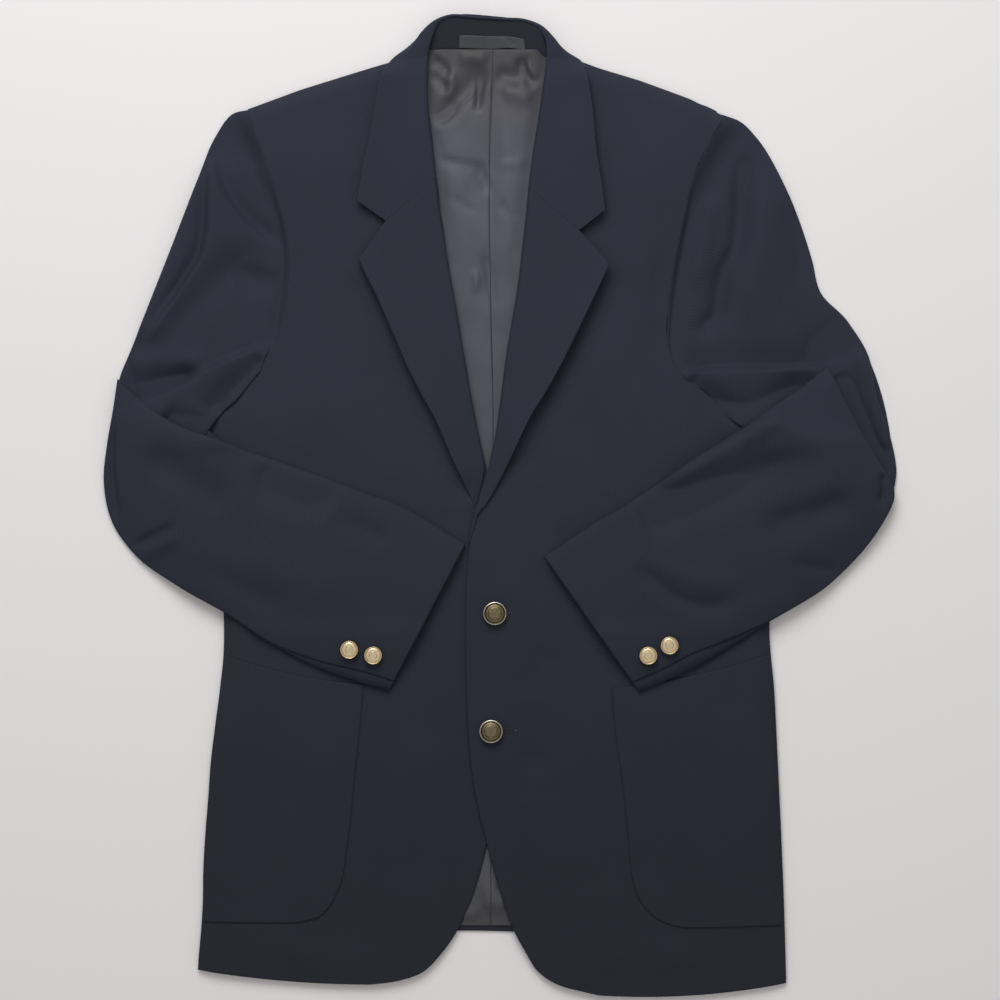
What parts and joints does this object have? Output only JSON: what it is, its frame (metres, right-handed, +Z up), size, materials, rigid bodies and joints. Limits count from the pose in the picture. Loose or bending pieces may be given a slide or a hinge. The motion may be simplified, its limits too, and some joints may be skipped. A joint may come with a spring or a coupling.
{
  "type": "blazer",
  "caption": "Single-breasted navy wool blazer with notch lapels, patch pockets and brass buttons, laid flat on its back with both sleeves folded in over the fronts.",
  "frame": {"origin": "centre of the blazer's plan, on the flat surface that its back lies on", "axes": "+X towards the wearer's left (picture right), +Y from hem to collar, +Z up from the surface, out of the fronts"},
  "size_m": [0.6534, 0.8149, 0.022],
  "materials": {
    "wool": "matte navy wool cloth with a fine diagonal weave, no visible topstitching",
    "lining": "smooth grey satin lining with a soft sheen, left plain",
    "label": "blank blue-grey satin neck label",
    "aged_brass": "antique brass with a brighter raised rim and a dull face",
    "bright_brass": null
  },
  "bodies": {
    "root": {"back": "wool", "back_lining_right": "lining", "back_lining_left": "lining", "front_right": "wool", "front_left": "wool", "lapel_right": "wool", "lapel_left": "wool", "collar": "wool", "collar_stand": "wool", "neck_label": "label", "top_sleeve_right_upper": "wool", "top_sleeve_right_lower": "wool", "top_sleeve_left_upper": "wool", "top_sleeve_left_lower": "wool", "under_sleeve_right": "wool", "under_sleeve_left": "wool", "pocket_right": "wool", "pocket_left": "wool", "front_button_upper": "aged_brass", "front_button_lower": "aged_brass", "cuff_button_right_inner": "bright_brass", "cuff_button_right_outer": "bright_brass", "cuff_button_left_inner": "bright_brass", "cuff_button_left_outer": "bright_brass"}
  },
  "joints": []
}
